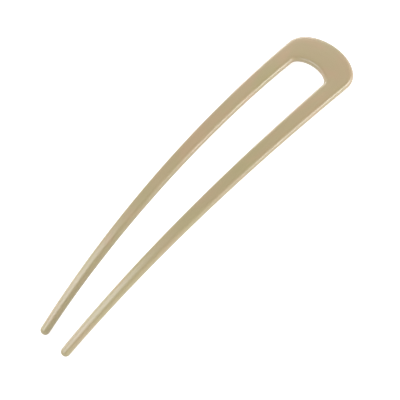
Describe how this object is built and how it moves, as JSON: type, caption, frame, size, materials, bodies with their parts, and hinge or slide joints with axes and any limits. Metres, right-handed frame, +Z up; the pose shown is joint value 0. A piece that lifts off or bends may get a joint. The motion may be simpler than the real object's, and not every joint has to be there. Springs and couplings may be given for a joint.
{
  "type": "u-shaped hairpin",
  "caption": "U-shaped hairpin in one piece of plastic: a flat, rounded crown and gently arched legs that taper to round tips and slide into a bun to hold it.",
  "frame": {"origin": "on the surface that the hairpin lies on, under the middle of its outline, as it rests arch upwards on its tips and the crown's back edge", "axes": "+X across the legs, +Y along the hairpin from the tips to the crown, +Z up, away from the surface"},
  "size_m": [0.0226, 0.1136, 0.01],
  "materials": {
    "plastic": "opaque pale horn beige, polished to a soft satin gloss"
  },
  "bodies": {
    "root": {"hairpin": "plastic"}
  },
  "joints": []
}
